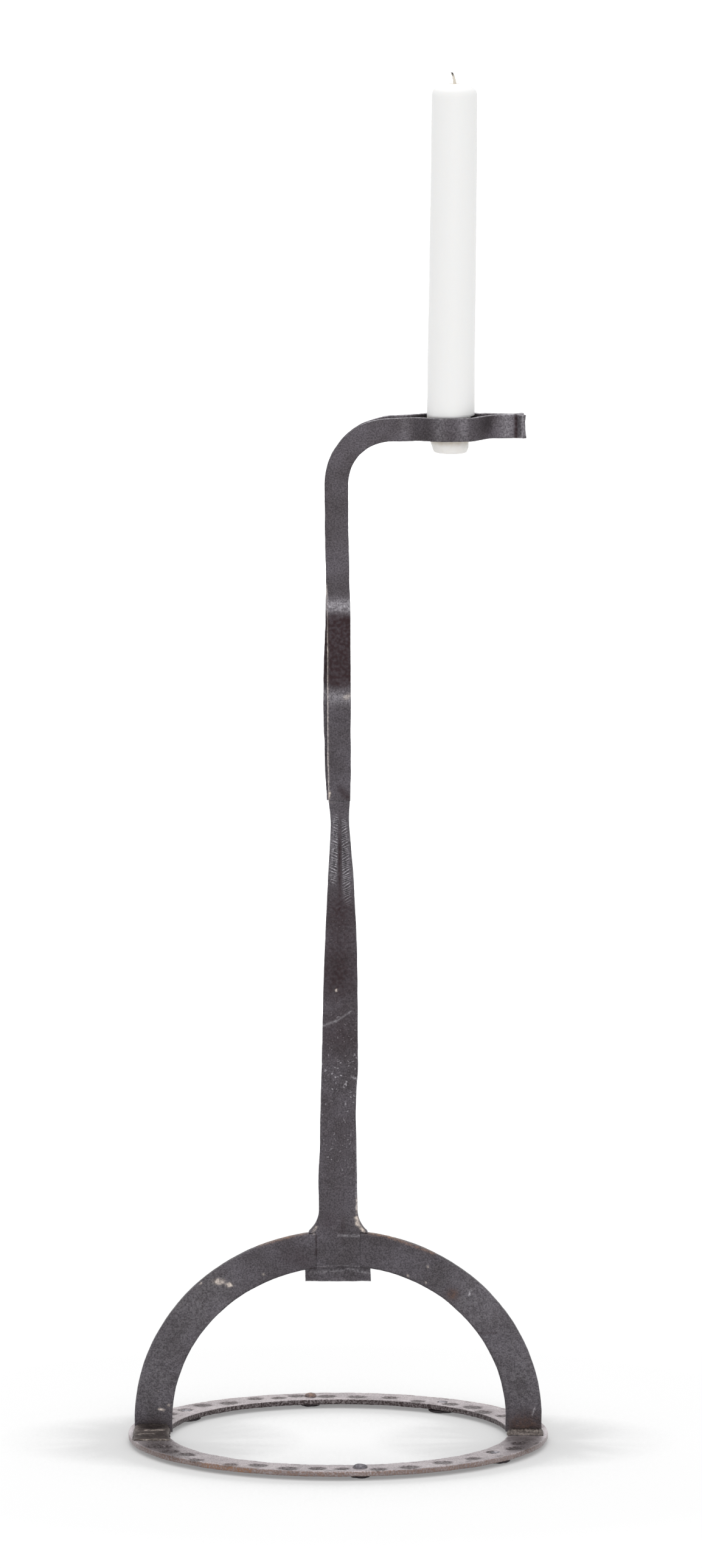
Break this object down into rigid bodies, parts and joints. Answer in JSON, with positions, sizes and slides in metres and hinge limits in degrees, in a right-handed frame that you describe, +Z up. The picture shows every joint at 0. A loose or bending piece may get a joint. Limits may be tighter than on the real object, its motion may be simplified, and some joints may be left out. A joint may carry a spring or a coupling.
{
  "type": "candle holder",
  "caption": "Forged iron candle holder: a ring base on riveted feet carries an arch and a tapered stem whose spring clasp grips a taper candle off to one side.",
  "frame": {"origin": "on the floor at the centre of the base ring", "axes": "+Z up along the stem, +X towards the candle in its clasp, -Y towards the face of the arch with the front spring arm"},
  "size_m": [0.21, 0.21, 0.6877],
  "materials": {
    "forged_iron": "hammered and oil-blackened, fine grain, edges rubbed a little brighter",
    "worn_forged_iron": "hammered with round dents, worn bright grey with a mauve cast, dark scale in the dents, some brown rust",
    "weld_metal": "rough weld fillet, streaked yellow-grey and dark scale",
    "candle_wax": "smooth white candle wax, slightly translucent, satin, stained grey at its butt",
    "wick_cotton": "plaited cotton, waxed, charred dark at the tip"
  },
  "bodies": {
    "stand": {"base_ring": "worn_forged_iron", "foot_stud_front": "worn_forged_iron", "foot_stud_back": "worn_forged_iron", "foot_stud_back_left": "worn_forged_iron", "foot_stud_back_right": "worn_forged_iron", "foot_stud_front_right": "worn_forged_iron", "arch": "forged_iron", "left_foot_weld": "weld_metal", "right_foot_weld": "weld_metal", "stem": "forged_iron", "back_plate": "forged_iron", "crown_rivet_left": "forged_iron", "crown_rivet_right": "forged_iron"},
    "front_arm": {"front_spring_arm": "forged_iron"},
    "rear_arm": {"rear_spring_arm": "forged_iron"},
    "candle_body": {"candle": "candle_wax", "wick": "wick_cotton"}
  },
  "joints": [
    {"name": "front_arm_flex", "type": "hinge", "parent": "stand", "child": "front_arm", "pos_m": [0.0003, -0.00165, 0.324], "axis": [1, 0, 0], "range_deg": [0, 1.2], "stiffness_Nm_per_rad": 40},
    {"name": "rear_arm_flex", "type": "hinge", "parent": "stand", "child": "rear_arm", "pos_m": [0.0003, 0.00165, 0.324], "axis": [-1, 0, 0], "range_deg": [0, 1.2], "stiffness_Nm_per_rad": 40},
    {"name": "candle_lift", "type": "slide", "parent": "stand", "child": "candle_body", "axis": [0.0113, 0, 0.9999], "range_m": [0, 0.05]}
  ]
}
